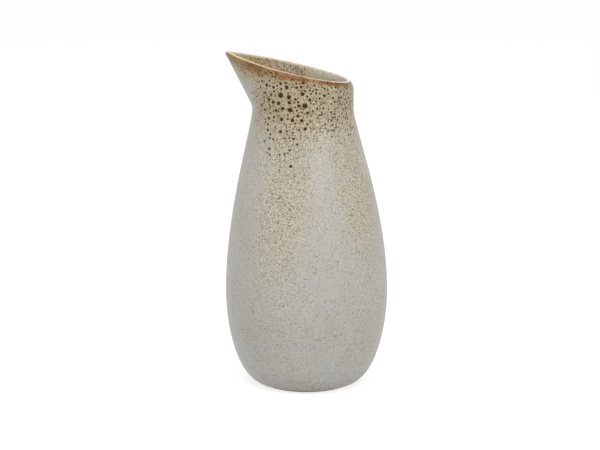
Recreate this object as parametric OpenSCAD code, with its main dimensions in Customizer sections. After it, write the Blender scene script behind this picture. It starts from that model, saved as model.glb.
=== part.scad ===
// A stoneware carafe jug with no handle: one clay body, a glaze coat outside, a liner glaze
// inside, and a band of rust-brown glaze over the lip. It stands on a bare clay foot ring.
// Millimetres and degrees. The origin is on the table under the middle of the belly, +Z is up,
// and the spout points along -X.

/* [Body] */
// Height of the lip's crown above the table at the spout's tip
jug_h = 240; // [200:1:300]
// Diameter of the belly at its widest
belly_d = 117.2; // [95:0.1:140]
// Height of the belly's widest point
belly_z = 65.9; // [50:0.1:80]
// Diameter of the foot, where the wall leaves the table
foot_d = 68.5; // [56:0.1:82]

/* [Neck] */
// Diameter of the neck at its waist
neck_d = 72.1; // [60:0.1:84]
// How far the neck's middle stands towards the spout from the belly's
neck_lean = 2.6; // [0:0.1:5]

/* [Spout and lip] */
// Height of the spout's tip above the waist, where the spout starts to lean out
spout_h = 40.2; // [30:0.1:46]
// Lean of the spout's front from the vertical
spout_angle = 27.2; // [18:0.1:32]
// Radius of the bend where the spout leaves the waist
spout_bend_r = 8; // [4:0.5:12]
// Fall of the lip towards the back
lip_angle = 11.5; // [8:0.1:16]
// How far the lip sweeps up at the spout's tip, on top of that fall
tip_lift = 2.8; // [0:0.1:5]
// Height of the lip's rounding above its cut
lip_h = 2; // [1:0.1:3]
// How far below its cut the lip's rounding starts outside at the back. It starts at the cut at the tip.
lip_round_h = 4.5; // [2:0.1:6]

/* [Wall and foot] */
// Thickness of the wall with its two coats of glaze
wall_t = 4.5; // [3.6:0.1:6]
// Thickness of the floor with its coat of glaze, at the foot ring
floor_t = 6; // [4.5:0.1:8]
// Width of the foot ring's flat
foot_ring_w = 6; // [4:0.5:9]
// Depth of the recess inside the foot ring
foot_recess = 1.5; // [0.8:0.1:2.2]
// Slope of the recess's wall, as its run towards the middle
foot_slope_w = 1.5; // [0.5:0.1:3]

/* [Glaze] */
// Thickness of each coat of glaze
glaze_t = 0.5; // [0.3:0.05:0.8]
// Height of the bare clay above the table, up to the glaze line
bare_h = 2; // [1:0.1:3]
// Depth of the lip's glaze band outside, below the lip's rounding
band_h = 3; // [2:0.1:4]
// Depth of the lip's glaze band inside, below the lip's rounding
band_inner_h = 1.5; // [1:0.1:3]

/* [Hidden] */

belly_r = belly_d / 2;
foot_r = foot_d / 2;
neck_r = neck_d / 2;
neck_z = jug_h - spout_h;

// How full the curves are, as shares of the heights and widths that they span
foot_flare_share = 0.74;
foot_rise_share = 0.073;
belly_below_share = 0.33;
belly_above_share = 0.45;
neck_below_share = 0.10;

// The plan of the spout: how pointed it is, and how round its tip is left
spout_point_share = 1.66;
spout_round_share = 0.019;

// Where the lip's crown lies in the wall's thickness, from outside: at the tip, and at the back
tip_crown_share = 0.5;
back_crown_share = 0.84;

// How finely the walls are cut into rings and round the axis
sides = 48;
tip_crowd = 12; // degrees that the sides are drawn towards the tip
low_rings = 10;
high_rings = 13;
spout_rings = 6;
lip_rings = 8;
solve_steps = 24;

// Outline of the wall, as radius and height: from the foot out to the belly, then in to the neck
low_curve = [
    [foot_r, 0],
    [foot_r + foot_flare_share * (belly_r - foot_r), foot_rise_share * belly_z],
    [belly_r, belly_z - belly_below_share * belly_z],
    [belly_r, belly_z]
];
high_curve = [
    [belly_r, belly_z],
    [belly_r, belly_z + belly_above_share * (neck_z - belly_z)],
    [neck_r, neck_z - neck_below_share * (neck_z - belly_z)],
    [neck_r, neck_z]
];

function curve_point(c, t) =
    pow(1 - t, 3) * c[0] + 3 * pow(1 - t, 2) * t * c[1] + 3 * (1 - t) * t * t * c[2] + pow(t, 3) * c[3];

function curve_run(c, t) =
    pow(1 - t, 2) * (c[1] - c[0]) + 2 * (1 - t) * t * (c[2] - c[1]) + t * t * (c[3] - c[2]);

// A point that lies depth below the wall's visible surface, square to it
function sunk_point(c, t, depth) =
    let (run = curve_run(c, t), inwards = [-run[1], run[0]] / norm(run))
    curve_point(c, t) + depth * inwards;

// The share of the low curve at which the wall reaches height z
function low_share(z, low = 0, high = 1, steps = solve_steps) =
    let (middle = (low + high) / 2)
    steps == 0 ? middle :
    curve_point(low_curve, middle)[1] < z ? low_share(z, middle, high, steps - 1) :
    low_share(z, low, middle, steps - 1);

glaze_line = low_share(bare_h);

// Angle of each side from the spout, closer together at the tip
function side_angle(j) = let (a = 360 * j / sides) a - tip_crowd * sin(a);

// A ring round the body. The middle of each ring leans towards the spout as the wall draws in.
function body_ring(c, t, depth, least_z = 0) =
    let (
        p = sunk_point(c, t, depth),
        drawn_in = (belly_r - curve_point(c, t)[0]) / (belly_r - neck_r),
        x = c == high_curve ? -neck_lean * drawn_in : 0
    )
    [for (j = [0:sides - 1])
        [x - p[0] * cos(side_angle(j)), p[0] * sin(side_angle(j)), max(p[1], least_z)]];

// How far the spout's front stands out at height h above the waist: an arc, then straight
function spout_reach(h) =
    h <= 0 ? 0 :
    h < spout_bend_r * sin(spout_angle) ? spout_bend_r - sqrt(pow(spout_bend_r, 2) - h * h) :
    tan(spout_angle) * (h - spout_start_h);
spout_start_h = spout_bend_r * tan(spout_angle / 2);

// How much of that reach a side takes: all at the tip, none at the back
function spout_share(a) =
    let (off = sqrt(pow(sin(a / 2), 2) + pow(spout_round_share, 2)) - spout_round_share)
    pow(max(0, 1 - off), spout_point_share);

// The lip is cut on a slant, and sweeps up to the tip. tip_z and tip_x are where its cut meets
// the middle of the wall at the spout's front, under the crown.
tip_z = jug_h - lip_h;
tip_x = -neck_lean - (neck_r - wall_t / 2) - spout_reach(tip_z - neck_z);
lip_slope = tan(lip_angle);

// Height of the line that runs drop below the lip's cut, on a side of the wall at that depth
function cut_z(a, depth, drop) =
    let (
        slope = lip_slope * tan(spout_angle) * spout_share(a),
        swept = tip_z - drop - tip_lift * (1 - spout_share(a)),
        plain = swept + lip_slope * (tip_x + neck_lean + (neck_r - depth) * cos(a))
    )
    (plain - slope * (neck_z + spout_start_h)) / (1 - slope);

// How far below its cut the lip's rounding starts outside, and the depth of its crown in the wall
function round_start(a) = lip_round_h * (1 - spout_share(a));
function crown_depth(a) =
    wall_t * (back_crown_share + (tip_crown_share - back_crown_share) * spout_share(a));

function neck_point(a, depth, z) =
    [
        -neck_lean - (neck_r - depth) * cos(a) - spout_reach(z - neck_z) * spout_share(a),
        (neck_r - depth) * sin(a),
        z
    ];

// A ring round the neck, at a share of the way from the waist to a line drop below the lip's
// cut, or on the outside below where the lip's rounding starts
function neck_ring(share, depth, drop) =
    [for (j = [0:sides - 1])
        let (
            a = side_angle(j),
            start = depth < wall_t / 2 ? round_start(a) : 0,
            line_z = cut_z(a, depth, drop + start)
        )
        neck_point(a, depth, neck_z + (line_z - neck_z) * share)];

// Rings over the lip, from one depth to another, with their crown at height h above the cut
function lip_crown(from, to, h) =
    [for (k = [0:lip_rings])
        let (turn = 180 * k / lip_rings, outside = turn < 90)
        [for (j = [0:sides - 1])
            let (
                a = side_angle(j),
                crown = crown_depth(a),
                depth = crown - (outside ? crown - from : to - crown) * cos(turn),
                start = outside ? round_start(a) * (1 - sin(turn)) : 0
            )
            neck_point(a, depth, cut_z(a, depth, start)) + [0, 0, h * sin(turn)]]];

// The wall's rings at one depth, from a share of the low curve up to a line below the lip
function wall_rings(depth, from, drop, least_z = 0) =
    [
        for (k = [0:low_rings]) body_ring(low_curve, from + (1 - from) * k / low_rings, depth, least_z),
        for (k = [1:high_rings]) body_ring(high_curve, k / high_rings, depth, least_z),
        for (k = [1:spout_rings]) neck_ring(k / spout_rings, depth, drop)
    ];

function reversed(list) = [for (i = [len(list) - 1:-1:0]) list[i]];

// A solid whose skin runs through the rings in turn. A skin that isn't looped is closed by a
// flat face at each end. From ring number turn on, the squares are split the other way, so
// that two solids that share a surface share its triangles too.
module skin(rings, turn, looped) {
    count = len(rings);
    last = (count - 1) * sides;
    polyhedron(
        points = [for (ring = rings) each ring],
        faces = [
            for (i = [0:looped ? count - 1 : count - 2])
                for (j = [0:sides - 1])
                    let (
                        k = (j + 1) % sides,
                        near = i * sides,
                        far = (i + 1) % count * sides
                    )
                    each i < turn
                        ? [[near + j, near + k, far + k], [near + j, far + k, far + j]]
                        : [[near + j, near + k, far + j], [near + k, far + k, far + j]],
            if (!looped) [for (j = [sides - 1:-1:0]) j],
            if (!looped) [for (j = [0:sides - 1]) last + j]
        ]
    );
}

function foot_circle(r, z) =
    [for (j = [0:sides - 1]) [-r * cos(side_angle(j)), r * sin(side_angle(j)), z]];

inner_clay = wall_t - glaze_t;
clay_floor_z = floor_t - glaze_t;

// The fired clay: foot ring, wall, lip and floor
module stoneware_body() {
    recess_r = foot_r - foot_ring_w;
    foot = [
        foot_circle(recess_r - foot_slope_w, foot_recess),
        foot_circle(recess_r, 0),
        foot_circle(foot_r, 0)
    ];
    outside = wall_rings(glaze_t, glaze_line, band_h);
    lip = lip_crown(glaze_t, inner_clay, lip_h - glaze_t);
    inside = reversed(wall_rings(inner_clay, 0, band_inner_h, clay_floor_z));
    turn = len(foot) + len(outside) + len(lip);
    color("tan") skin([each foot, each outside, each lip, each inside], turn, false);
}

// Pale grey speckled glaze on the outside, from the glaze line up to the lip's band
module outer_glaze() {
    visible = wall_rings(0, glaze_line, band_h);
    hidden = reversed(wall_rings(glaze_t, glaze_line, band_h));
    color("lightgray") skin([each visible, each hidden], len(visible), true);
}

// The same glaze on the inside, from the lip's band down over the floor
module liner_glaze() {
    hidden = wall_rings(inner_clay, 0, band_inner_h, clay_floor_z);
    visible = reversed(wall_rings(wall_t, 0, band_inner_h, floor_t));
    color("gainsboro") skin([each hidden, each visible], len(hidden), false);
}

// Rust-brown glaze over the lip, where it runs thin on the edge
module lip_glaze() {
    outer_line = neck_ring(1, 0, band_h);
    inner_line = neck_ring(1, wall_t, band_inner_h);
    visible = [outer_line, each lip_crown(0, wall_t, lip_h), inner_line];
    hidden = [
        neck_ring(1, inner_clay, band_inner_h),
        each reversed(lip_crown(glaze_t, inner_clay, lip_h - glaze_t)),
        neck_ring(1, glaze_t, band_h)
    ];
    color("sienna") skin([each visible, each hidden], len(visible) - 1, true);
}

stoneware_body();
outer_glaze();
liner_glaze();
lip_glaze();
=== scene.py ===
import math
from collections import namedtuple
from functools import cache, cached_property, partial, reduce

import bmesh
import bpy
from bpy.props import FloatProperty, FloatVectorProperty, IntProperty, PointerProperty
from mathutils import Matrix, Vector
from mathutils.bvhtree import BVHTree


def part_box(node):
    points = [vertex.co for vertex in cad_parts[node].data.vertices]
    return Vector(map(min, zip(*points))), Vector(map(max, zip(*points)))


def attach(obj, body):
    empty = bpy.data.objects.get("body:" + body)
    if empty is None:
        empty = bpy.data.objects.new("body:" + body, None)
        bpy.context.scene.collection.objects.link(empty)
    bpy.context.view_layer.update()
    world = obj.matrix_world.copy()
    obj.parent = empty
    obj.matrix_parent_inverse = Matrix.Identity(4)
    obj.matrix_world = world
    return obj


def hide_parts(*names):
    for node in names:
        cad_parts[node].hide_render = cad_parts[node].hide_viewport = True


bl_info = {
    "name": "Speckled Carafe Jug",
    "version": (1, 0, 0),
    "blender": (4, 5, 0),
    "location": "View3D > Sidebar > Jug",
    "description": "A handleless stoneware carafe in speckled glaze, with a rust-brown lip",
    "category": "Add Mesh",
}

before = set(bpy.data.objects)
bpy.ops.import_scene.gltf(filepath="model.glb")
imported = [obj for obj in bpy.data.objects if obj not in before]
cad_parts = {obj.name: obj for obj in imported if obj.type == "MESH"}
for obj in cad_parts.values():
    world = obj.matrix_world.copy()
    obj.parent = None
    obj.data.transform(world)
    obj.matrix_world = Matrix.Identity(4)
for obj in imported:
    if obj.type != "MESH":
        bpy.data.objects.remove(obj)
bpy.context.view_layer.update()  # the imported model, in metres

BODY = "root"
MM = 0.001

# The coats of glaze whose extents give the main sizes
COAT_LOW, COAT_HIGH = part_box("outer_glaze")
LIP_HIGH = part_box("lip_glaze")[1]

# How full the wall's curves are, as shares of the heights and widths that they span
FOOT_FLARE = 0.74
FOOT_RISE = 0.073
BELLY_BELOW = 0.33
BELLY_ABOVE = 0.45
NECK_BELOW = 0.10

# The plan of the spout: how pointed it is, and how round its tip is left
SPOUT_POINT = 1.66
SPOUT_ROUND = 0.019

# The share of the wall's thickness outside the lip's crown, at the tip and at the back
TIP_CROWN = 0.5
BACK_CROWN = 0.84

# How finely the outline is drawn
LOW_ROWS, HIGH_ROWS, NECK_ROWS, LIP_ROWS = 32, 52, 30, 16
SOLVE_STEPS = 40
BAND_ROWS, BAND_ROWS_INSIDE = 6, 4
SOFT_ROWS = 3  # of a softened edge
WELD = 1e-6  # metres within which points are one
ON_RING = 1e-5  # metres within which a point lies on a row
Z_DIGITS = 7  # to which heights are told apart
SHARP_ANGLE = math.radians(50)  # edges with a larger turn stay sharp

# Names of the values that the glaze reads from the mesh
LIP_DROP = "lip_drop"  # metres below the lip's crown
LIP_ACROSS = "lip_across"  # 0 outside the wall, 1 inside it
LIP_TURN = "lip_turn"  # how far round the lip, in radians, or OFF_LIP
LIP_SUNK = "lip_sunk"  # metres that a surface of the lip lies below the visible one
OFF_LIP = -1.0


def length(name, description, default, low, high):
    return FloatProperty(
        name=name, description=description, default=default, min=low, max=high,
        subtype="DISTANCE", unit="LENGTH", precision=5,
    )


def angle(name, description, degrees, low, high):
    return FloatProperty(
        name=name, description=description, default=math.radians(degrees),
        min=math.radians(low), max=math.radians(high), subtype="ANGLE",
    )


def number(name, description, default, high=1.0):
    return FloatProperty(name=name, description=description, default=default, min=0.0, max=high)


def tint(name, description, default):
    return FloatVectorProperty(
        name=name, description=description, default=default, min=0.0, max=1.0, subtype="COLOR"
    )


class JugShape(bpy.types.PropertyGroup):
    height: length("Height", "Height of the lip at the spout's tip", LIP_HIGH.z, 0.2, 0.3)
    belly_radius: length("Belly radius", "Radius of the belly at its widest", COAT_HIGH.x, 0.045, 0.07)
    belly_height: length("Belly height", "Height of the belly's widest point", 0.0659, 0.05, 0.08)
    foot_radius: length("Foot radius", "Radius where the wall leaves the table", 0.03425, 0.028, 0.041)
    neck_radius: length("Neck radius", "Radius of the neck at its waist", 0.03605, 0.03, 0.042)
    neck_lean: length("Neck lean", "How far the neck stands towards the spout", 0.0026, 0.0, 0.005)
    spout_height: length("Spout height", "Height of its tip above the waist", 0.0402, 0.03, 0.046)
    spout_angle: angle("Spout angle", "Lean of the spout's front", 27.2, 18.0, 32.0)
    spout_bend: length("Spout bend", "Radius of the bend below the spout", 0.008, 0.004, 0.012)
    lip_angle: angle("Lip angle", "Fall of the lip towards the back", 11.5, 8.0, 16.0)
    tip_lift: length("Tip lift", "How far the lip sweeps up at the tip", 0.0028, 0.0, 0.005)
    lip_height: length("Lip height", "Height of the lip's rounding above its cut", 0.002, 0.001, 0.003)
    lip_round: length("Lip round", "How far below the cut it starts at the back", 0.0045, 0.002, 0.006)
    wall: length("Wall", "Thickness of the wall with its glaze", 0.0045, 0.0036, 0.006)
    floor: length("Floor", "Thickness of the floor with its glaze", 0.006, 0.0045, 0.008)
    ring_width: length("Ring width", "Width of the foot ring's flat", 0.006, 0.004, 0.009)
    recess: length("Recess", "Depth of the recess inside the foot ring", 0.0015, 0.0008, 0.0022)
    recess_slope: length("Recess slope", "Run of the recess's wall", 0.0015, 0.0005, 0.003)
    glaze: length("Glaze", "Thickness of each coat of glaze", 0.0005, 0.0003, 0.0008)
    bare: length("Bare clay", "Height of the glaze line above the table", COAT_LOW.z, 0.001, 0.003)
    band: length("Lip band", "Depth of the lip's band outside", 0.003, 0.002, 0.004)
    band_inside: length("Lip band inside", "Depth of the lip's band inside", 0.0015, 0.001, 0.003)
    softening: length("Softening", "Rounding of the clay's and the glaze's edges", 0.0004, 0.0, 0.001)
    wedges: IntProperty(name="Wedges", description="Wedges round the jug", default=16, min=8, max=24)
    wedge_sides: IntProperty(name="Sides", description="Sides of each wedge", default=12, min=4, max=24)
    tip_crowd: angle("Tip crowd", "How far the sides are drawn towards the tip", 20.0, 0.0, 40.0)


class JugGlaze(bpy.types.PropertyGroup):
    pale: tint("Pale grey", "The glaze where it is thick and plain", (0.46, 0.448, 0.41))
    greige: tint("Greige", "The glaze's usual ground", (0.438, 0.422, 0.378))
    cool: tint("Cool grey", "The glaze low on the belly", (0.50, 0.486, 0.457))
    tan: tint("Tan", "Ground of the speckled streaks", (0.468, 0.433, 0.337))
    honey: tint("Honey", "Ground of the spotted neck", (0.45, 0.37, 0.225))
    inside_tip: tint("Inside the spout", "The glaze inside the spout", (0.40, 0.29, 0.165))
    inside: tint("Inside", "The glaze inside the mouth", (0.52, 0.41, 0.285))
    # painted light: much lighter than the glaze, as light falling in at the mouth onto the far inner
    # wall
    inside_back_painted_light: tint("Inside at the back", "The same, away from the spout", (0.75, 0.69, 0.565))
    # painted light: paler just below the crown than deeper inside, as light falling in at the mouth
    rim: tint("Rim", "The glaze inside, just below the crown", (0.60, 0.52, 0.40))
    # painted light: near white, as light falling in at the mouth at the back
    rim_back_painted_light: tint("Rim at the back", "The same, away from the spout", (0.88, 0.855, 0.77))
    speck: tint("Speck", "The fine speckle", (0.11, 0.07, 0.017))
    fleck: tint("Fleck", "The greyish flecks", (0.265, 0.237, 0.17))
    spot: tint("Spot", "The dark spots on the neck", (0.034, 0.014, 0.0))
    pepper: tint("Pepper", "The small dark spots", (0.036, 0.018, 0.0))
    amber: tint("Amber", "In and round a big dark spot", (0.19, 0.08, 0.012))
    rust: tint("Rust", "The lip's band", (0.232, 0.077, 0.016))
    brown: tint("Brown", "The same, towards the spout", (0.27, 0.145, 0.052))
    scorch: tint("Scorch", "The same, where it is darkest", (0.175, 0.082, 0.022))
    olive: tint("Olive", "The same, at the spout's tip", (0.27, 0.195, 0.10))
    # the crown's cream: thin glaze with a painted highlight
    edge: tint("Edge", "The thin glaze on the lip's crown", (0.68, 0.52, 0.35))
    # painted highlight: the crown's glare, paler at the back
    edge_back_painted_highlight: tint("Edge at the back", "The same, away from the spout", (0.86, 0.74, 0.58))
    # painted light: near white, as the white backdrop lighting the crown's far side
    edge_far_painted_light: tint("Edge at the far side", "The same, on the far side of the back", (0.90, 0.87, 0.78))
    clay: tint("Clay", "The bare clay of the foot ring", (0.50, 0.40, 0.29))
    roughness: number("Roughness", "Roughness of the satin glaze", 0.42)
    relief: number("Relief", "Strength of the glaze's fine relief", 0.25)


class JugStudio(bpy.types.PropertyGroup):
    aim_height: length("Aim height", "Height that the camera looks at", 0.133, 0.0, 0.3)
    distance: length("Distance", "Distance of the camera from where it looks", 1.1863, 0.5, 3.0)
    elevation: angle("Elevation", "How far the camera looks down", 11.346, 0.0, 40.0)
    azimuth: angle("Azimuth", "How far round the jug the camera stands", 2.861, -30.0, 30.0)
    focal_pixels: number("Focal length", "Focal length in pixels", 1649.3, 9999.0)
    aim_x: number("Aim x", "Column of the aim in the picture", 306.56, 600.0)
    aim_y: number("Aim y", "Row of the aim in the picture", 200.35, 450.0)
    sky: number("Sky", "Strength of the light from all round", 0.56)
    lamps: number("Lamps", "Strength of the lamps", 1.0, 4.0)


# The photograph's frame in pixels, and the camera's sensor and reach
PICTURE_WIDTH, PICTURE_HEIGHT = 600, 450
SENSOR_WIDTH = 36.0
CLIP_START, CLIP_END = 0.01, 20.0

# The floor, as light meets it and as the camera sees it, and the lamps: place and width, and power
FLOOR_HALF_WIDTH = 6.0
PAPER = (0.6, 0.6, 0.62, 1.0)
PAPER_GLOW, PAPER_MATT = 0.7, (0.5, 0.5, 0.5, 1.0)
LAMPS = (
    ("key", (0.75, -1.0, 0.75), 0.8, 7.5),
    ("fill", (-1.0, -0.7, 0.5), 0.9, 3.5),
    ("top", (0.0, -0.25, 1.3), 1.0, 5.5),
)

# The dark spots that the photograph shows best on the neck: the columns and rows of those of each
# width, all in pixels
NECK_SPOTS_PX = {
    5.0: ((280.6, 95.3), (304.8, 105.9)),
    4.5: ((290.1, 110.1),),
    4.0: ((288.9, 97.2),),
    3.5: ((281.6, 119.3), (292.3, 120.3), (286.7, 87.4), (302.4, 94.2)),
    3.3: ((278.6, 103.3), (282.7, 108.4)),
    3.0: (
        (301.7, 120.7), (273.1, 102.1), (289.3, 102.7), (298.9, 105.9), (280.4, 131.7), (305.2, 129.0),
    ),
    2.8: ((269.0, 99.6), (309.8, 100.0), (266.7, 85.1)),
    2.7: ((297.8, 116.1), (280.5, 83.6)),
    2.6: ((303.1, 82.9),),
    2.5: (
        (267.9, 129.9), (269.0, 118.3), (290.7, 166.4), (276.0, 110.4), (265.1, 109.7), (273.6, 87.4),
        (274.0, 117.1), (296.6, 87.7),
    ),
    2.4: ((324.4, 95.6), (301.1, 87.1), (307.4, 113.2)),
    2.3: ((269.3, 148.8), (261.7, 105.3), (265.4, 92.9), (271.2, 94.8), (295.4, 99.5)),
    2.2: ((333.0, 98.1), (296.4, 83.6), (298.1, 102.2), (346.8, 88.8)),
    2.0: (
        (293.5, 138.9), (334.7, 113.9), (307.4, 124.3), (262.0, 81.2), (285.9, 83.1), (277.1, 85.8),
        (281.0, 89.0), (274.1, 91.3), (305.2, 91.1), (314.5, 85.5), (296.9, 110.5), (317.2, 109.0),
        (340.8, 91.4), (338.3, 98.3), (287.7, 119.0), (286.7, 131.1), (297.1, 144.5), (273.1, 139.4),
    ),
    1.8: (
        (269.4, 80.5), (313.0, 91.4), (301.9, 112.4), (312.8, 111.1), (319.6, 98.6), (320.8, 104.3),
        (331.4, 87.9), (335.6, 87.2), (324.8, 88.7), (336.1, 92.3), (348.5, 97.5), (295.1, 123.8),
        (299.2, 130.1), (292.9, 133.1), (279.8, 154.9), (273.6, 120.8), (270.6, 113.2), (264.7, 141.0),
        (309.9, 90.4), (311.0, 93.9), (267.7, 124.4), (270.5, 134.4), (316.5, 90.0), (316.0, 93.0),
        (344.5, 87.3), (334.6, 102.0), (332.7, 125.0),
    ),
    1.7: (
        (307.1, 96.5), (295.0, 107.4), (328.3, 93.6), (317.8, 117.8), (269.7, 154.6), (270.2, 106.8),
        (265.5, 122.2), (275.4, 126.7), (260.4, 87.3), (269.9, 138.2), (284.6, 138.4), (289.4, 138.0),
        (289.6, 150.4), (284.5, 154.2), (327.8, 90.1), (331.4, 104.1), (316.1, 101.5), (323.6, 108.1),
        (331.4, 112.6),
    ),
}

# The faint rust smudges on the belly, in the same way
SMUDGES_PX = {
    5: ((257.5, 291), (259, 296), (252.5, 307), (253, 312)),
    4: ((259.5, 301), (254, 317)),
}

# Stretches of the lip's stain, in metres along X: middle and half-width
WORN = (0.0065, 0.006)  # worn thin
DEEP = (-0.0045, 0.008)  # runs deepest
SCORCHED = (-0.035, 0.008)  # darkest

BIG_SPOT = 0.8 * MM  # radius from which a spot shows amber
SPOT_STEP = 0.05 * MM  # the marks' radii are rounded to this
ROLL_RADIUS = 0.036  # the neck's, for marks that lie on its surface as on a sheet rolled round it


# The wall's outline

def curves(s):
    """The outline's two curves, foot to belly and belly to neck, as points of radius and height."""
    belly, foot, neck = s.belly_radius, s.foot_radius, s.neck_radius
    rise = s.height - s.spout_height - s.belly_height
    low = (
        (foot, 0.0),
        (foot + FOOT_FLARE * (belly - foot), FOOT_RISE * s.belly_height),
        (belly, (1 - BELLY_BELOW) * s.belly_height),
        (belly, s.belly_height),
    )
    high = (
        (belly, s.belly_height),
        (belly, s.belly_height + BELLY_ABOVE * rise),
        (neck, s.belly_height + (1 - NECK_BELOW) * rise),
        (neck, s.belly_height + rise),
    )
    return low, high


def curve_point(curve, t):
    a, b, c, d = (Vector(p) for p in curve)
    u = 1 - t
    return u ** 3 * a + 3 * u * u * t * b + 3 * u * t * t * c + t ** 3 * d


def sunk_point(curve, t, depth):
    """A point that lies depth below the wall's visible surface, square to it."""
    a, b, c, d = (Vector(p) for p in curve)
    u = 1 - t
    run = (u * u * (b - a) + 2 * u * t * (c - b) + t * t * (d - c)).normalized()
    return curve_point(curve, t) + depth * Vector((-run.y, run.x))


def share_at_height(curve, z):
    """The share of a curve at which it reaches height z."""
    low, high = 0.0, 1.0
    for _ in range(SOLVE_STEPS):
        middle = (low + high) / 2
        if curve_point(curve, middle).y < z:
            low = middle
        else:
            high = middle
    return (low + high) / 2


def level_rim(s):
    """Height of the lip's cut before the pot is cut on a slant."""
    return s.height - s.lip_height


def off_lip(*points):
    """Rows away from the lip, from points of radius and height."""
    return [(*point, OFF_LIP, 0.0) for point in points]


def wall_rows(s, depth, start, band, lowest=0.0):
    """The wall's rows at one depth, from a share of the low curve up to the lip's band."""
    low, high = curves(s)
    neck_z = s.height - s.spout_height
    rows = [sunk_point(low, start + (1 - start) * i / LOW_ROWS, depth) for i in range(LOW_ROWS + 1)]
    rows += [sunk_point(high, i / HIGH_ROWS, depth) for i in range(1, HIGH_ROWS + 1)]
    climb = level_rim(s) - band - neck_z
    rows += [(s.neck_radius - depth, neck_z + climb * i / NECK_ROWS) for i in range(1, NECK_ROWS + 1)]
    return off_lip(*((radius, max(z, lowest)) for radius, z in rows))


def band_rows(s, depth, band, count):
    """The lip's band on one side of the wall, from its lower edge up to just below the lip."""
    rim = level_rim(s)
    return off_lip(*((s.neck_radius - depth, rim - band * (1 - i / count)) for i in range(count)))


def lip_rows(s, sunk):
    """A half round lip, sunk below the visible surface. It keeps the turn of each row."""
    rows = []
    for i in range(LIP_ROWS + 1):
        turn = math.pi * i / LIP_ROWS
        depth = s.wall / 2 - (s.wall / 2 - sunk) * math.cos(turn)
        z = level_rim(s) + (s.lip_height - sunk) * math.sin(turn)
        rows.append((s.neck_radius - depth, z, turn, sunk))
    return rows


# The spout, which is pulled out of a turned pot, and the slant that its lip is cut on

def spout_share(a):
    """How much of the spout's reach a side takes: all at the tip, none at the back."""
    off = math.hypot(math.sin(a / 2), SPOUT_ROUND) - SPOUT_ROUND
    return max(0.0, 1 - off) ** SPOUT_POINT


def spout_start(s):
    return s.spout_bend * math.tan(s.spout_angle / 2)


def spout_reach(s, h):
    """How far the spout's front stands out at height h above the waist: an arc, then straight."""
    if h <= 0:
        return 0.0
    if h < s.spout_bend * math.sin(s.spout_angle):
        return s.spout_bend - math.sqrt(s.spout_bend ** 2 - h * h)
    return math.tan(s.spout_angle) * (h - spout_start(s))


def cut_height(s, a, depth, drop=0.0):
    """Height, on a side and at a depth of the wall, of a line that runs drop below the slanted cut."""
    neck_z = s.height - s.spout_height
    fall, pull = math.tan(s.lip_angle), spout_share(a)
    tip_x = -s.neck_lean - (s.neck_radius - s.wall / 2) - spout_reach(s, level_rim(s) - neck_z)
    slope = fall * math.tan(s.spout_angle) * pull
    swept = level_rim(s) - drop - s.tip_lift * (1 - pull)
    plain = swept + fall * (tip_x + s.neck_lean + (s.neck_radius - depth) * math.cos(a))
    return (plain - slope * (neck_z + spout_start(s))) / (1 - slope)


@cache
def lean_at(high, neck_radius, neck_lean, z):
    """How far the wall's middle stands towards the spout at height z."""
    belly_radius = high[0][0]
    t = share_at_height(high, z)
    return neck_lean * (belly_radius - curve_point(high, t).x) / (belly_radius - neck_radius)


def neck_place(s, a, depth, z):
    """The place on a side of the neck, at a depth of its wall and a height."""
    radius = s.neck_radius - depth
    pull = spout_reach(s, z - s.height + s.spout_height) * spout_share(a)
    return Vector((-s.neck_lean - radius * math.cos(a) - pull, radius * math.sin(a), z))


def crown_depth(s, a):
    return s.wall * (BACK_CROWN + (TIP_CROWN - BACK_CROWN) * spout_share(a))


def lip_place(s, a, turn, sunk):
    """The place on the lip at a turn of its rounding, which starts lower outside at the back."""
    crown = crown_depth(s, a)
    outside = turn < math.pi / 2
    reach = crown - sunk if outside else s.wall - sunk - crown
    drop = s.lip_round * (1 - spout_share(a)) * (1 - math.sin(turn)) if outside else 0.0
    depth = crown - reach * math.cos(turn)
    place = neck_place(s, a, depth, cut_height(s, a, depth, drop))
    place.z += (s.lip_height - sunk) * math.sin(turn)
    return place


def wall_place(s, a, depth, z):
    """The place on the neck's wall for height z of the turned pot."""
    neck_z = s.height - s.spout_height
    start = s.lip_round * (1 - spout_share(a)) if depth < s.wall / 2 else 0.0
    below = level_rim(s) - z
    if below <= s.band + WELD:
        return neck_place(s, a, depth, cut_height(s, a, depth, below + start))
    climb = (z - neck_z) / (level_rim(s) - s.band - neck_z)
    line = cut_height(s, a, depth, s.band + start)
    return neck_place(s, a, depth, neck_z + climb * (line - neck_z))


def shape_pot(s, bm):
    """Leans the turned pot's neck, pulls its spout out and cuts its lip on a slant."""
    turn_of = bm.verts.layers.float[LIP_TURN]
    sunk_of = bm.verts.layers.float[LIP_SUNK]
    drop_of = bm.verts.layers.float.new(LIP_DROP)
    across_of = bm.verts.layers.float.new(LIP_ACROSS)
    neck_z = s.height - s.spout_height
    high = curves(s)[1]
    for v in bm.verts:
        x, y, z = v.co
        radius = math.hypot(x, y)
        a = math.atan2(y, -x)
        a -= s.tip_crowd * math.sin(a)
        depth = s.neck_radius - radius
        turn = v[turn_of]
        if turn >= 0.0:
            v.co = lip_place(s, a, turn, v[sunk_of])
            v[across_of] = turn / math.pi
        elif z > neck_z + WELD:
            v.co = wall_place(s, a, depth, z)
            v[across_of] = float(depth > s.wall / 2)
        else:
            lean = 0.0
            if z > s.belly_height:
                lean = lean_at(high, s.neck_radius, s.neck_lean, round(z, Z_DIGITS))
            v.co = (-lean - radius * math.cos(a), radius * math.sin(a), z)
        v[drop_of] = cut_height(s, a, crown_depth(s, a)) + s.lip_height - v.co.z
    return bm


# Turning an outline into a piece

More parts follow.
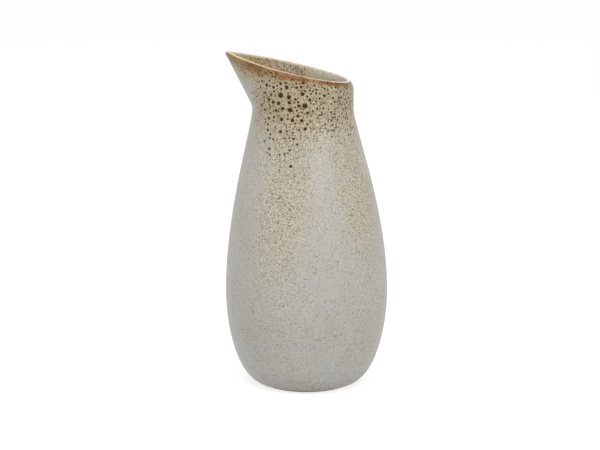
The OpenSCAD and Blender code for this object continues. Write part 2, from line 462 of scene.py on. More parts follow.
def turned(s, rows, closed):
    """Spins rows of the wall and the lip round the jug's axis: a wedge first, then copies of it."""
    bm = bmesh.new()
    turn_of = bm.verts.layers.float.new(LIP_TURN)
    sunk_of = bm.verts.layers.float.new(LIP_SUNK)
    verts = []
    for radius, z, turn, sunk in rows:
        verts.append(bm.verts.new((-radius, 0.0, z)))
        verts[-1][turn_of], verts[-1][sunk_of] = turn, sunk
    edges = [bm.edges.new(pair) for pair in zip(verts, verts[1:])]
    if closed:
        edges.append(bm.edges.new((verts[-1], verts[0])))
    wedge = 2 * math.pi / s.wedges
    about = {"cent": (0, 0, 0), "axis": (0, 0, 1)}
    bmesh.ops.spin(bm, geom=verts + edges, angle=wedge, steps=s.wedge_sides, **about)
    whole = bm.verts[:] + bm.edges[:] + bm.faces[:]
    bmesh.ops.spin(
        bm, geom=whole, angle=2 * math.pi - wedge, steps=s.wedges - 1, use_duplicate=True, **about
    )
    bmesh.ops.remove_doubles(bm, verts=bm.verts, dist=WELD)
    bmesh.ops.recalc_face_normals(bm, faces=bm.faces)
    return bm


def soften(bm, s, rings):
    """Rounds the edge loops of a turned piece that run through the given rows."""
    def on_ring(v):
        radius = math.hypot(v.co.x, v.co.y)
        return any(math.hypot(radius - row[0], v.co.z - row[1]) < ON_RING for row in rings)

    def level(e):
        return abs(e.verts[0].co.z - e.verts[1].co.z) < WELD

    loops = [e for e in bm.edges if all(on_ring(v) for v in e.verts) and level(e)]
    bmesh.ops.bevel(
        bm, geom=loops, affect="EDGES", offset=s.softening, segments=SOFT_ROWS, profile=0.5, material=-1
    )


def new_object(name, data):
    obj = bpy.data.objects.new(name, data)
    bpy.context.scene.collection.objects.link(obj)
    return obj


def new_mesh(name, bm):
    mesh = bpy.data.meshes.new(name)
    bm.to_mesh(mesh)
    bm.free()
    return new_object(name, mesh)


def piece(name, bm, node):
    obj = new_mesh(name, bm)
    obj.data.shade_smooth()
    obj.data.set_sharp_from_angle(angle=SHARP_ANGLE)
    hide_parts(node)
    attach(obj, BODY)
    return obj


# Materials

# The glaze's layout, in metres. A pair with _X gives where a change begins and where it is complete
# along X, which runs from the spout to the back. One with _DROP gives the same below the lip's crown.

INSIDE_ACROSS = (0.4, 0.65)  # shares of LIP_ACROSS between which the outside becomes the inside
FAR = 1.0  # further apart than any two places on the jug
WOBBLE = (1.4 * MM, 0.5 * MM)  # grain and reach of what makes round marks uneven

# Where the glaze is rich: down the streaks, and all round the neck but for the spout's front
FRONT_X, FRONT_DROP = (-0.040, -0.028), (0.022, 0.008)
NECK_DROP, NECK_LUMPS = (0.070, 0.026), (0.012, 0.050)
RISE_X, RISE = (-0.004, 0.020), 0.020  # its lower edge is this much higher at the back
RICH_INSIDE = 0.3
STREAKS = (  # degrees round from the near side towards the back, half-width in degrees, strength
    (-20, 22, 1.0), (50, 22, 1.0), (112, 18, 0.7), (160, 24, 0.95), (214, 18, 0.8), (262, 22, 0.7),
)
STREAK_CORE, STREAK_EDGE = 0.35, 1.6  # shares of a streak's half-width
STREAK_TOP, STREAK_TAIL = 0.085, 0.18  # the drop to which it is full, and its strength in the end
STREAK_END_X, STREAK_END_DROP = (-0.010, 0.010), (0.190, 0.150)

# Where dark spots are scattered: outside, near the tip, inside, strays, and larger ones behind
SPOTS_X, SPOTS_DROP, SPOTS_LEVEL_DROP = (-0.040, -0.031), (0.080, 0.034), (0.068, 0.036)
TIP_X, TIP_DROP, TIP_CROWD = (-0.047, -0.041), (0.015, 0.006), 0.8
INSIDE_BACK_X, INSIDE_TIP_X = (0.001, -0.009), (-0.050, -0.038)
INSIDE_LOW_DROP, INSIDE_RIM_DROP, INSIDE_CROWD = (0.040, 0.015), (0.8 * MM, 2.2 * MM), 1.5
STRAY_DROP = (0.110, 0.070)
BEHIND_Y = (-0.012, 0.008)

# The ground: heights where the belly turns cool, the neck's share of honey, the inside and its rim,
# with painted light that falls in at the mouth lightening the inside at the back and near the crown
COOL_Z = (0.05, 0.005)
HONEY = 0.75
SHELTER_TIP_X, SHELTER_BACK_X, SHELTER_DROP = (-0.016, -0.036), (-0.010, 0.036), (0.08, 0.02)
RIM_X, RIM_TOP = (-0.010, 0.026), 0.4 * MM
RIM_DEEP_X, RIM_DEPTHS = (-0.016, 0.004), (2.2 * MM, 7.0 * MM)

# The lip's stain: colours, the share by which its lumps and its strength are less at the back, how deep
# it is full and where it ends, and how both grow where it is DEEP, on the spout and where it is WORN
BROWN_X, OLIVE_X = (-0.004, -0.022), (-0.038, -0.054)
EVEN_X, EVEN = (-0.014, -0.006), 0.6
STAIN_END_X, STAIN_END = (0.0285, 0.032), 0.35
STAIN_FULL, STAIN_DEEP = 1.9 * MM, 1.1 * MM
STAIN_FADE, STAIN_FADE_SPOUT, STAIN_FADE_WORN = 5.0 * MM, 5.5 * MM, 4.0 * MM
STAIN_WORN = 0.48

# The cream on the lip's crown, thin glaze with a painted highlight: its width, and its colours along a
# slanted line, paler as painted highlight towards the back and the far side
CREAM_X, CREAM_WIDTH, CREAM_SOFT = (0.008, 0.024), (0.3 * MM, 0.45 * MM), 0.2 * MM
CREAM_SLANT, CREAM_BACK_X, CREAM_FAR_X = 0.5, (-0.012, 0.006), (0.006, 0.024)

# Dots: spacing, smallest and largest radius, and the softness of their edge
Dots = namedtuple("Dots", "spacing smallest largest soft")
FLECKS = Dots(2.4 * MM, 0.4 * MM, 0.95 * MM, 0.6)
STRAYS = Dots(2.2 * MM, 0.3 * MM, 0.6 * MM, 0.35)
TINY = Dots(1.5 * MM, 0.2 * MM, 0.4 * MM, 0.4)
MEDIUM = Dots(4.0 * MM, 0.65 * MM, 1.1 * MM, 0.2)
LARGE = Dots(8.0 * MM, 1.2 * MM, 1.8 * MM, 0.15)
GROG = Dots(1.1 * MM, 0.1 * MM, 0.3 * MM, 0.35)
SPECKLE = (  # dots, then crowd and strength: the share that rich glaze adds, and the share everywhere
    (Dots(1.1 * MM, 0.18 * MM, 0.36 * MM, 0.5), (0.65, 0.25), (0.52, 0.48)),
    (Dots(1.6 * MM, 0.2 * MM, 0.44 * MM, 0.4), (0.65, 0.18), (0.55, 0.45)),
)

# The small dark spots: they grow towards the back, shrink down the neck and warm towards the tip
SMALL_SPACING, SMALL_SOFT, SMALL_CROWD = 2.2 * MM, 0.25, 0.6
SMALL_X, SMALLEST, SMALL_LARGEST = (0.006, 0.018), (0.38 * MM, 0.46 * MM), (0.75 * MM, 0.92 * MM)
SMALL_INSIDE = 0.68 * MM
SHRINK_DROP, SHRINK = (0.026, 0.050), 0.6
WARM_X, WARM = (-0.024, -0.038), 0.6

# Round the photograph's own marks: clear ground, and how far each colour's soft edge runs
CLEAR_ROUND, SMUDGE_EDGE = (0.5 * MM, 0.9 * MM), (-1.0 * MM, 0.8 * MM)
LITTLE_EDGE, HEART_EDGE, AMBER_EDGE = 0.28 * MM, 0.3 * MM, 0.7 * MM

GLAZE_IOR = 1.28  # lower than a glossy glaze's
GLAZE_RELIEF, CLAY_RELIEF = 0.12 * MM, 0.1 * MM

MIX_UNDER, MIX_OVER, MIX_RESULT = 6, 7, 2  # the colour sockets of the node Mix


class Wiring:
    """Adds nodes to a new material or world. Most methods take a node's inputs and give its output."""

    def __init__(self, owner, shader="Principled BSDF"):
        owner.use_nodes = True
        self.tree = owner.node_tree
        self.shader = self.tree.nodes[shader]

    def add(self, kind, inputs=None, **settings):
        node = self.tree.nodes.new("ShaderNode" + kind)
        for key, value in settings.items():
            setattr(node, key, value)
        return self.feed(node, inputs or {})

    def feed(self, node, inputs):
        """Gives a node's inputs, by name or number, plain values or links to outputs."""
        for key, value in inputs.items():
            if isinstance(value, bpy.types.NodeSocket):
                self.tree.links.new(value, node.inputs[key])
            else:
                node.inputs[key].default_value = value
        return node

    @cached_property
    def place(self):
        return self.add("TexCoord").outputs["Object"]

    def math(self, operation, *values):
        return self.add("Math", dict(enumerate(values)), operation=operation).outputs[0]

    def vector(self, operation, *values):
        return self.add("VectorMath", dict(enumerate(values)), operation=operation).outputs["Vector"]

    def plus(self, *values):
        return reduce(partial(self.math, "ADD"), values)

    def times(self, *values):
        return reduce(partial(self.math, "MULTIPLY"), values)

    def most(self, *values):
        """The greatest of some values."""
        return reduce(partial(self.math, "MAXIMUM"), values)

    def line(self, value, slope, start):
        """Start, and slope times the value."""
        return self.math("MULTIPLY_ADD", value, slope, start)

    def ramp(self, value, start, end, low=0.0, high=1.0):
        """Goes smoothly from low to high as value goes from start to end."""
        inputs = dict(enumerate((value, start, end, low, high)))
        return self.add("MapRange", inputs, interpolation_type="SMOOTHSTEP").outputs["Result"]

    def blend(self, share, under, over):
        """Colour over laid on colour under, as far as share says."""
        under, over = (c if isinstance(c, bpy.types.NodeSocket) else (*c, 1.0) for c in (under, over))
        inputs = {"Factor": share, MIX_UNDER: under, MIX_OVER: over}
        return self.add("Mix", inputs, data_type="RGBA").outputs[MIX_RESULT]

    def axes(self, place):
        return tuple(self.add("SeparateXYZ", {0: place}).outputs)

    def noise(self, grain, detail=2.0, roughness=0.5, stretch=None):
        """Soft noise from 0 to 1 whose lumps are about grain metres across."""
        place = self.place
        if stretch:
            place = self.add("Mapping", {"Vector": place, "Scale": stretch}).outputs["Vector"]
        inputs = {"Vector": place, "Scale": 1 / grain, "Detail": detail, "Roughness": roughness}
        return self.add("TexNoise", inputs).outputs["Fac"]

    def lumps(self, grain, span, middle=0.0, **noise):
        """Noise that swings about a middle value. Span is the whole swing."""
        return self.line(self.noise(grain, **noise), span, middle - span / 2)

    def patches(self, grain, start, end, low=0.0, high=1.0, **noise):
        """Soft patches: low where the noise is under start, and high where it is over end."""
        return self.ramp(self.noise(grain, **noise), start, end, low, high)

    def dots(self, kind, density, place=None, flat=False):
        """Round dots of scattered radii, on the share of scattered points that density says."""
        inputs = {"Vector": place or self.place, "Scale": 1 / kind.spacing}
        node = self.add("TexVoronoi", inputs, voronoi_dimensions="2D" if flat else "3D")
        chance, size, _ = self.add("SeparateColor", {0: node.outputs["Color"]}).outputs
        distance = self.times(node.outputs["Distance"], kind.spacing)
        radius = self.ramp(size, 0.0, 1.0, kind.smallest, kind.largest)
        radius = self.times(radius, self.math("LESS_THAN", chance, density))
        inner = self.times(radius, 1 - kind.soft)
        outer = self.line(radius, 1 + kind.soft, WELD)
        return self.ramp(distance, inner, outer, 1.0, 0.0)

    def wobbled(self, grain, reach):
        """The place on the piece, shifted a little so that round marks come out uneven."""
        shift = self.add("TexNoise", {"Vector": self.place, "Scale": 1 / grain}).outputs["Color"]
        centred = self.vector("SUBTRACT", self.place, (reach / 2,) * 3)
        return self.vector("MULTIPLY_ADD", shift, (reach,) * 3, centred)

    def rolled(self, place):
        """A place as metres round the jug's axis and metres up, on a sheet that is cut at the spout."""
        x, y, z = self.axes(place)
        across = self.times(self.math("ARCTAN2", y, x), ROLL_RADIUS)
        return self.add("CombineXYZ", {"X": across, "Y": z}).outputs["Vector"]

    def attribute(self, name):
        return self.add("Attribute", attribute_name=name).outputs["Fac"]

    def mottled(self, colour, grain, amount):
        """Lightens and darkens a colour in fine grains."""
        swing = self.math("SUBTRACT", self.noise(grain, roughness=0.6), 0.5)
        inputs = {0: colour, "Scale": self.line(swing, amount, 1.0)}
        return self.add("VectorMath", inputs, operation="SCALE").outputs["Vector"]

    def relief(self, height, strength, distance):
        inputs = {"Height": height, "Strength": strength, "Distance": distance}
        return self.add("Bump", inputs).outputs["Normal"]


class Glaze(Wiring):
    """The pale reactive glaze, in layers that are laid over each other."""

    def __init__(self, material, colours):
        super().__init__(material)
        self.colours = colours
        self.x, self.y, self.z = self.axes(self.place)
        self.drop = self.attribute(LIP_DROP)
        self.inner = self.ramp(self.attribute(LIP_ACROSS), *INSIDE_ACROSS)
        self.uneven = self.wobbled(*WOBBLE)
        self.sheet = self.rolled(self.uneven)
        self.find_zones()

    def along(self, start, end, low=0.0, high=1.0):
        """Goes smoothly from low to high along X."""
        return self.ramp(self.x, start, end, low, high)

    def down(self, start, end, low=0.0, high=1.0):
        """Goes smoothly from low to high with the drop below the lip's crown."""
        return self.ramp(self.drop, start, end, low, high)

    def by_side(self, outside, inside):
        """One value outside the jug and another inside it."""
        return self.ramp(self.inner, 0.0, 1.0, outside, inside)

    def streaks(self):
        """How strongly the streaks show, from 0 to 1, before they fade with height."""
        turn = self.math("ARCTAN2", self.x, self.times(self.y, -1.0))
        turn = self.math("DIVIDE", turn, 2 * math.pi)
        wander = self.lumps(0.03, 0.12, stretch=(1, 1, 0.5))
        turn = self.plus(turn, wander, self.lumps(0.006, 0.08, detail=3.0))
        total = 0.0
        for centre, half, strength in STREAKS:
            away = self.math("WRAP", self.math("SUBTRACT", turn, centre / 360), 0.5, -0.5)
            core, edge = STREAK_CORE * half / 360, STREAK_EDGE * half / 360
            total = self.most(self.ramp(self.math("ABSOLUTE", away), core, edge, strength, 0.0), total)
        return total

    def find_zones(self):
        """Works out how rich the glaze is, and how crowded its scattered spots are."""
        rise = self.times(self.along(*RISE_X), RISE)
        fall = self.plus(self.drop, rise, self.lumps(*NECK_LUMPS, detail=3.0))
        streak = self.streaks()
        tip = self.times(self.down(*TIP_DROP, 0.0, TIP_CROWD), self.along(*TIP_X))
        outside = self.times(
            self.most(self.along(*SPOTS_X), tip),
            self.ramp(fall, *SPOTS_DROP),
            self.most(streak, self.down(*SPOTS_LEVEL_DROP)),
        )
        inside = self.times(
            self.down(*INSIDE_LOW_DROP),
            self.along(*INSIDE_BACK_X),
            self.along(*INSIDE_TIP_X),
            self.down(*INSIDE_RIM_DROP, 0.0, INSIDE_CROWD),
        )
        self.crowd = self.by_side(outside, inside)

        self.neck = self.ramp(fall, *NECK_DROP)
        self.off_front = self.most(self.along(*FRONT_X), self.down(*FRONT_DROP))
        lowest = self.along(*STREAK_END_X, *STREAK_END_DROP)
        self.streak = self.times(streak, self.down(lowest, STREAK_TOP, STREAK_TAIL, 1.0))
        rich = self.most(self.streak, self.neck)
        rich = self.times(rich, self.off_front, self.by_side(1.0, RICH_INSIDE))
        self.rich = self.most(rich, self.patches(0.014, 0.45, 0.75, 0.0, 0.5, detail=3.0))

    def lay(self, share, over):
        """Lays a colour over what is there, as far as share says."""
        self.colour = self.blend(share, self.colour, over)

    def ground(self):
        """Lays the mottled ground, which is warmer inside, with painted light inside: lighter at the
        back, and paler just below the crown than deeper in.
        """
        c = self.colours
        self.colour = c.pale
        self.lay(self.patches(0.02, 0.2, 0.8, detail=3.0, stretch=(1, 1, 0.6)), c.greige)
        self.lay(self.ramp(self.z, *COOL_Z), c.cool)
        patchy = self.patches(0.005, 0.35, 0.65, 0.7, 1.0, detail=3.0)
        self.lay(self.times(self.rich, patchy), c.tan)
        self.lay(self.times(self.neck, self.off_front, HONEY), c.honey)
        inside_and_painted_light = self.blend(self.along(*SHELTER_TIP_X), c.inside, c.inside_tip)
        # painted light: the inside is lightened at the back and near the crown, as light falling in at
        # the mouth
        inside_and_painted_light = self.blend(self.along(*SHELTER_BACK_X), inside_and_painted_light, c.inside_back_painted_light)
        rim = self.blend(self.along(*RIM_X), c.rim, c.rim_back_painted_light)
        depth = self.along(*RIM_DEEP_X, *RIM_DEPTHS)
        inside_and_painted_light = self.blend(self.down(depth, RIM_TOP), inside_and_painted_light, rim)
        self.lay(self.times(self.inner, self.down(*SHELTER_DROP, 0.5, 0.95)), inside_and_painted_light)
        amount = self.plus(self.rich, self.by_side(0.95, 0.3))
        self.colour = self.mottled(self.colour, 0.8 * MM, amount)

    def distance_to(self, marks):
        """Distance to the edge of the nearest of some round marks, negative inside it."""
        nearest = FAR
        for radius in sorted({radius for _, radius in marks}):
            middle = FAR
            for centre in (c for c, r in marks if r == radius):
                node = self.add("VectorMath", {0: self.uneven, 1: centre}, operation="DISTANCE")
                middle = self.math("MINIMUM", node.outputs["Value"], middle)
            nearest = self.math("MINIMUM", self.math("SUBTRACT", middle, radius), nearest)
        return nearest

    def smudge(self, smudges):
        """Lays faint rust smudges."""
        grain = self.patches(1.5 * MM, 0.3, 0.7, 0.05, 0.22)
        near = self.ramp(self.distance_to(smudges), *SMUDGE_EDGE, 1.0, 0.0)
        self.lay(self.times(near, grain), self.colours.rust)

    def stretch(self, middle, half):
        """1 in the middle of a stretch of the jug along X, fading to 0 at its ends."""
        away = self.math("ABSOLUTE", self.math("SUBTRACT", self.x, middle))
        return self.ramp(away, half, 0.4 * half)

    def stain(self):
        """Lays the brown stain that runs down outside from the lip."""
        c = self.colours
        to_spout, worn = self.along(*BROWN_X), self.stretch(*WORN)
        ragged = self.lumps(1.4 * MM, 3.0 * MM, detail=3.0, roughness=0.7)
        even = self.line(self.along(*EVEN_X), -EVEN, 1.0)
        depth = self.plus(self.drop, ragged, self.times(self.lumps(9.0 * MM, 5.0 * MM), even))
        full = self.line(self.stretch(*DEEP), STAIN_DEEP, STAIN_FULL)
        fade = self.line(to_spout, STAIN_FADE_SPOUT, STAIN_FADE)
        fade = self.line(worn, STAIN_FADE_WORN, fade)
        stain = self.blend(to_spout, c.rust, c.brown)
        stain = self.blend(self.stretch(*SCORCHED), stain, c.scorch)
        stain = self.blend(self.along(*OLIVE_X), stain, c.olive)
        strength = self.times(
            self.ramp(depth, full, fade, 1.0, 0.0),
            self.patches(0.007, 0.36, 0.56, 0.85, 1.0, detail=3.0),
            self.line(worn, -STAIN_WORN, 1.0),
            self.along(*STAIN_END_X, 1.0, STAIN_END),
            self.by_side(1.0, 0.0),
        )
        self.lay(strength, self.mottled(stain, 0.9 * MM, 2.2))

    def speckle(self):
        """Lays greyish flecks and fine speckle."""
        flecks = self.dots(FLECKS, self.patches(0.012, 0.4, 0.65, 0.1, 0.8), self.uneven)
        self.lay(self.times(flecks, self.by_side(0.45, 0.2)), self.colours.fleck)
        for kind, crowd, strength in SPECKLE:
            specks = self.dots(kind, self.line(self.rich, *crowd), self.uneven)
            self.lay(self.times(specks, self.line(self.rich, *strength)), self.colours.speck)

    def spot(self, spots):
        """Lays the given dark spots and scattered ones, and gives how dark they are."""
        c = self.colours
        little = self.distance_to([spot for spot in spots if spot[1] < BIG_SPOT])
        big = self.distance_to([spot for spot in spots if spot[1] >= BIG_SPOT])
        clear = self.ramp(self.math("MINIMUM", little, big), *CLEAR_ROUND)
        crowd = self.times(self.crowd, clear, SMALL_CROWD)
        shrink = self.down(*SHRINK_DROP, 1.0, SHRINK)
        smallest = self.times(self.along(*SMALL_X, *SMALLEST), shrink)
        largest = self.times(self.along(*SMALL_X, *SMALL_LARGEST), shrink)
        on_sheet = partial(self.dots, place=self.sheet, flat=True)
        small = Dots(SMALL_SPACING, smallest, self.by_side(largest, SMALL_INSIDE), SMALL_SOFT)
        small, tiny = on_sheet(small, crowd), on_sheet(TINY, crowd)
        behind = self.times(self.crowd, self.most(self.ramp(self.y, *BEHIND_Y), self.inner))
        medium = on_sheet(MEDIUM, self.times(behind, self.by_side(0.4, 0.0)))
        large = on_sheet(LARGE, self.times(behind, self.by_side(0.25, 0.0)))
        sparse = self.line(self.times(self.streak, self.down(*STRAY_DROP)), 0.3, 0.02)
        strays = self.dots(STRAYS, self.times(sparse, self.off_front), self.uneven)

        pepper = self.most(
            self.times(small, self.by_side(0.9, 0.75)),
            self.times(tiny, 0.6),
            self.times(strays, 0.6),
            self.ramp(little, 0.0, LITTLE_EDGE, 1.0, 0.0),
        )
        scattered = self.most(medium, large)
        amber = self.most(scattered, self.ramp(big, 0.0, AMBER_EDGE, 0.9, 0.0))
        heart = self.most(self.times(scattered, 0.95), self.ramp(big, 0.0, HEART_EDGE, 1.0, 0.0))
        warm = self.blend(self.along(*WARM_X, 0.0, WARM), c.pepper, c.amber)
        self.lay(pepper, warm)
        self.lay(self.times(amber, 0.55), c.amber)
        self.lay(heart, self.blend(self.patches(1.3 * MM, 0.48, 0.66, 0.0, 0.5), c.spot, c.amber))
        return self.most(heart, pepper)

    def edge(self):
        """Lays the cream on the lip's crown: the glaze breaking thin there, with a painted highlight
        that grows paler towards the back and is near white on the far side.
        """
        c = self.colours
        depth = self.plus(self.drop, self.lumps(3.0 * MM, 0.6 * MM, detail=3.0))
        depth = self.math("SUBTRACT", depth, self.along(*CREAM_X, *CREAM_WIDTH))
        along = self.line(self.y, CREAM_SLANT, self.x)
        # painted highlight on the crown: paler towards the back, near white on the far side
        edge = self.blend(self.ramp(along, *CREAM_BACK_X), c.edge, c.edge_back_painted_highlight)
        edge = self.blend(self.ramp(along, *CREAM_FAR_X), edge, c.edge_far_painted_light)
        self.lay(self.ramp(depth, -CREAM_SOFT, CREAM_SOFT, 0.95, 0.0), edge)

    def finish(self, dark):
        """Gives the shader its colour, a satin that is glossier on dark spots, and a fine relief."""
        satin = self.lumps(0.004, 0.16, self.colours.roughness, detail=3.0)
        height = self.line(dark, -1.0, self.times(self.noise(0.001), 0.5))
        self.feed(self.shader, {
            "Base Color": self.colour,
            "Roughness": self.line(dark, -0.15, satin),
            "IOR": GLAZE_IOR,
            "Normal": self.relief(height, self.colours.relief, GLAZE_RELIEF),
        })


def speckled_glaze(name, colours, spots=(), smudges=()):
    """The glaze, also with spots and smudges where the photograph shows them."""
    material = bpy.data.materials.new(name)
    glaze = Glaze(material, colours)
    glaze.ground()
    glaze.smudge(smudges)
    glaze.stain()
    glaze.speckle()
    dark = glaze.spot(spots)
    # the crown's cream: thin glaze with a painted highlight
    glaze.edge()
    glaze.finish(dark)
    return material


def bare_clay(name, colours):
    """Fired stoneware: gritty, matt and slightly flecked."""
    material = bpy.data.materials.new(name)
    w = Wiring(material)
    grog = w.dots(GROG, 0.3)
    warm = w.patches(0.008, 0.3, 0.7, detail=4.0)
    colour = w.blend(w.times(warm, 0.5), colours.clay, tuple(c * 0.8 for c in colours.clay))
    colour = w.blend(w.times(grog, 0.6), colour, colours.speck)
    height = w.plus(w.noise(0.6 * MM, detail=3.0), w.times(grog, -0.4))
    normal = w.relief(height, 0.35, CLAY_RELIEF)
    w.feed(w.shader, {"Base Color": colour, "Roughness": 0.85, "Normal": normal})
    return material


# Camera

def camera_pose(studio):
    """Where the camera stands, and the three directions of its picture."""
    toward = Vector((0.0, math.cos(studio.elevation), -math.sin(studio.elevation)))
    toward.rotate(Matrix.Rotation(studio.azimuth, 3, "Z"))
    right = Vector((math.cos(studio.azimuth), math.sin(studio.azimuth), 0.0))
    up = right.cross(toward)
    aim = Vector((0.0, 0.0, studio.aim_height))
    return aim - studio.distance * toward, right, up, toward


def marks_on_wall(marks, pieces, studio):
    """Places round marks of the photo where lines of sight meet the jug: middles and radii."""
    trees = [
        BVHTree.FromPolygons([v.co for v in p.data.vertices], [f.vertices for f in p.data.polygons])
        for p in pieces
    ]
    eye, right, up, toward = camera_pose(studio)
    found = []
    for width, middles in marks.items():
        for column, row in middles:
            ray = toward * studio.focal_pixels
            ray += right * (column - studio.aim_x) + up * (studio.aim_y - row)
            hits = [tree.ray_cast(eye, ray.normalized()) for tree in trees]
            hits = [(distance, place) for place, _, _, distance in hits if place is not None]
            if not hits:
                raise RuntimeError(f"the mark at {column}, {row} misses the jug")
            distance, place = min(hits)
            radius = width / 2 * distance / ray.length
            found.append((place, SPOT_STEP * round(radius / SPOT_STEP)))
    return found


class JUG_OT_clay(bpy.types.Operator):
    """Makes the fired clay, whose foot ring shows under the glaze"""
    bl_idname = "jug.clay"
    bl_label = "Clay body"

    def execute(self, context):
        s = context.scene.jug_shape
        inner = s.wall - s.glaze
        ring = s.foot_radius - s.ring_width
        recess = (0.0, s.recess), (ring - s.recess_slope, s.recess)
        foot = off_lip(*recess, (ring, 0.0), (s.foot_radius, 0.0))
        outside = wall_rows(s, s.glaze, share_at_height(curves(s)[0], s.bare), s.band)
        inside = wall_rows(s, inner, 0.0, s.band_inside, s.floor - s.glaze)[::-1]
        middle = off_lip((0.0, s.floor - s.glaze))
        rows = foot + outside + lip_rows(s, s.glaze) + inside + middle
        bm = turned(s, rows, closed=False)
        soften(bm, s, foot[1:])
        shape_pot(s, bm)
        clay = piece("clay_body", bm, "stoneware_body")
        clay.data.materials.append(bare_clay("bare_stoneware", context.scene.jug_glaze))
        return {"FINISHED"}


class JUG_OT_outer_coat(bpy.types.Operator):
    """Makes the speckled glaze outside and the rust-brown glaze over the lip, which share one finish"""
    bl_idname = "jug.outer_coat"
    bl_label = "Outer and lip glaze"

    def execute(self, context):
        s = context.scene.jug_shape
        line = share_at_height(curves(s)[0], s.bare)
        visible = wall_rows(s, 0.0, line, s.band)
        hidden = wall_rows(s, s.glaze, line, s.band)[::-1]
        bm = turned(s, visible + hidden, closed=True)
        soften(bm, s, [visible[0]])
        shape_pot(s, bm)
        coat = piece("speckled_coat", bm, "outer_glaze")

        inner = s.wall - s.glaze
        visible = band_rows(s, 0.0, s.band, BAND_ROWS) + lip_rows(s, 0.0)
        visible += band_rows(s, s.wall, s.band_inside, BAND_ROWS_INSIDE)[::-1]
        hidden = band_rows(s, s.glaze, s.band, 1) + lip_rows(s, s.glaze)
        hidden += band_rows(s, inner, s.band_inside, 1)
        bm = turned(s, visible + hidden[::-1], closed=True)
        shape_pot(s, bm)
        lip = piece("lip_coat", bm, "lip_glaze")

        studio = context.scene.jug_studio
        spots = marks_on_wall(NECK_SPOTS_PX, (coat, lip), studio)
        smudges = marks_on_wall(SMUDGES_PX, (coat, lip), studio)
        material = speckled_glaze("speckled_glaze", context.scene.jug_glaze, spots, smudges)
        coat.data.materials.append(material)
        lip.data.materials.append(material)
        return {"FINISHED"}


class JUG_OT_liner(bpy.types.Operator):
    """Makes the glaze inside, down to the floor"""
    bl_idname = "jug.liner"
    bl_label = "Liner glaze"

    def execute(self, context):
        s = context.scene.jug_shape
        inner = s.wall - s.glaze
        hidden = wall_rows(s, inner, 0.0, s.band_inside, s.floor - s.glaze)
        visible = wall_rows(s, s.wall, 0.0, s.band_inside, s.floor)[::-1]
        rows = off_lip((0.0, s.floor - s.glaze)) + hidden + visible + off_lip((0.0, s.floor))
        bm = shape_pot(s, turned(s, rows, closed=False))
        liner = piece("liner_coat", bm, "liner_glaze")
        liner.data.materials.append(speckled_glaze("liner_glaze", context.scene.jug_glaze))
        return {"FINISHED"}


def seen_directly(w):
    """1 where a surface is seen, also in a reflection or through glass, and 0 where it gives light."""
    rays = w.add("LightPath").outputs
    return w.most(rays["Is Camera Ray"], rays["Is Glossy Ray"], rays["Is Transmission Ray"])


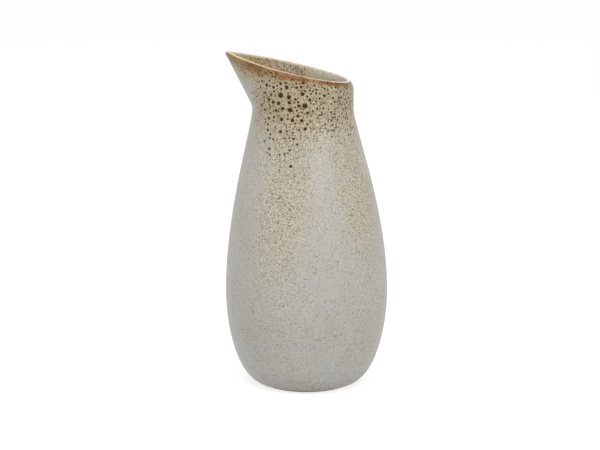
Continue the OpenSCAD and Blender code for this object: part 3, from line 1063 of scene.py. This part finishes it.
class JUG_OT_studio(bpy.types.Operator):
    """Sets the floor, the soft light and the camera"""
    bl_idname = "jug.studio"
    bl_label = "Studio"

    def execute(self, context):
        scene, studio = context.scene, context.scene.jug_studio
        scene.view_settings.view_transform = "Standard"
        self.camera(scene, studio)
        self.floor()
        self.sky(scene, studio.sky)
        for lamp in LAMPS:
            self.softbox(studio, *lamp)
        return {"FINISHED"}

    def camera(self, scene, studio):
        eye, right, up, toward = camera_pose(studio)
        data = bpy.data.cameras.new("camera")
        data.sensor_width = SENSOR_WIDTH
        data.lens = studio.focal_pixels * SENSOR_WIDTH / PICTURE_WIDTH
        data.shift_x = (PICTURE_WIDTH / 2 - studio.aim_x) / PICTURE_WIDTH
        data.shift_y = (studio.aim_y - PICTURE_HEIGHT / 2) / PICTURE_WIDTH
        data.clip_start, data.clip_end = CLIP_START, CLIP_END
        scene.camera = new_object("camera", data)
        scene.camera.matrix_world = Matrix((right, up, -toward)).transposed().to_4x4()
        scene.camera.location = eye

    def floor(self):
        bm = bmesh.new()
        bmesh.ops.create_grid(bm, x_segments=1, y_segments=1, size=FLOOR_HALF_WIDTH)
        obj = new_mesh("floor", bm)
        obj.data.materials.append(self.paper())

    def paper(self):
        """Matt for the light that falls on the jug. The camera sees it white, with the jug's shadow."""
        material = bpy.data.materials.new("paper")
        w = Wiring(material)
        w.feed(w.shader, {"Base Color": PAPER, "Roughness": 1.0})
        glow = w.add("Emission", {"Strength": PAPER_GLOW}).outputs[0]
        matt = w.add("BsdfDiffuse", {"Color": PAPER_MATT}).outputs[0]
        seen = w.add("AddShader", {0: glow, 1: matt}).outputs[0]
        pick = w.add("MixShader", {0: seen_directly(w), 1: w.shader.outputs[0], 2: seen})
        w.feed(w.tree.nodes["Material Output"], {"Surface": pick.outputs[0]})
        return material

    def sky(self, scene, light):
        """White where it is seen, and weaker as light."""
        scene.world = bpy.data.worlds.new("sky")
        w = Wiring(scene.world, "Background")
        strength = w.line(seen_directly(w), 1.0 - light, light)
        w.feed(w.shader, {"Color": (1.0, 1.0, 1.0, 1.0), "Strength": strength})

    def softbox(self, studio, name, place, width, power):
        data = bpy.data.lights.new(name, "AREA")
        data.shape = "SQUARE"
        data.size = width
        data.energy = power * studio.lamps
        obj = new_object(name, data)
        obj.location = place
        toward = Vector((0.0, 0.0, studio.aim_height)) - Vector(place)
        obj.rotation_euler = toward.to_track_quat("-Z", "Y").to_euler()


OPERATORS = (JUG_OT_clay, JUG_OT_outer_coat, JUG_OT_liner, JUG_OT_studio)


class JUG_PT_panel(bpy.types.Panel):
    bl_idname = "JUG_PT_panel"
    bl_label = "Carafe jug"
    bl_space_type = "VIEW_3D"
    bl_region_type = "UI"
    bl_category = "Jug"

    def draw(self, context):
        for key in GROUPS:
            group = getattr(context.scene, key)
            for name in group.__annotations__:
                self.layout.prop(group, name)
        for operator in OPERATORS:
            self.layout.operator(operator.bl_idname)


GROUPS = {"jug_shape": JugShape, "jug_glaze": JugGlaze, "jug_studio": JugStudio}
CLASSES = (*GROUPS.values(), *OPERATORS, JUG_PT_panel)


def register():
    for cls in CLASSES:
        bpy.utils.register_class(cls)
    for key, group in GROUPS.items():
        setattr(bpy.types.Scene, key, PointerProperty(type=group))


def unregister():
    for key in GROUPS:
        delattr(bpy.types.Scene, key)
    for cls in reversed(CLASSES):
        bpy.utils.unregister_class(cls)


def main():
    register()
    bpy.ops.jug.clay()
    bpy.ops.jug.outer_coat()
    bpy.ops.jug.liner()
    bpy.ops.jug.studio()


if __name__ == "__main__":
    main()
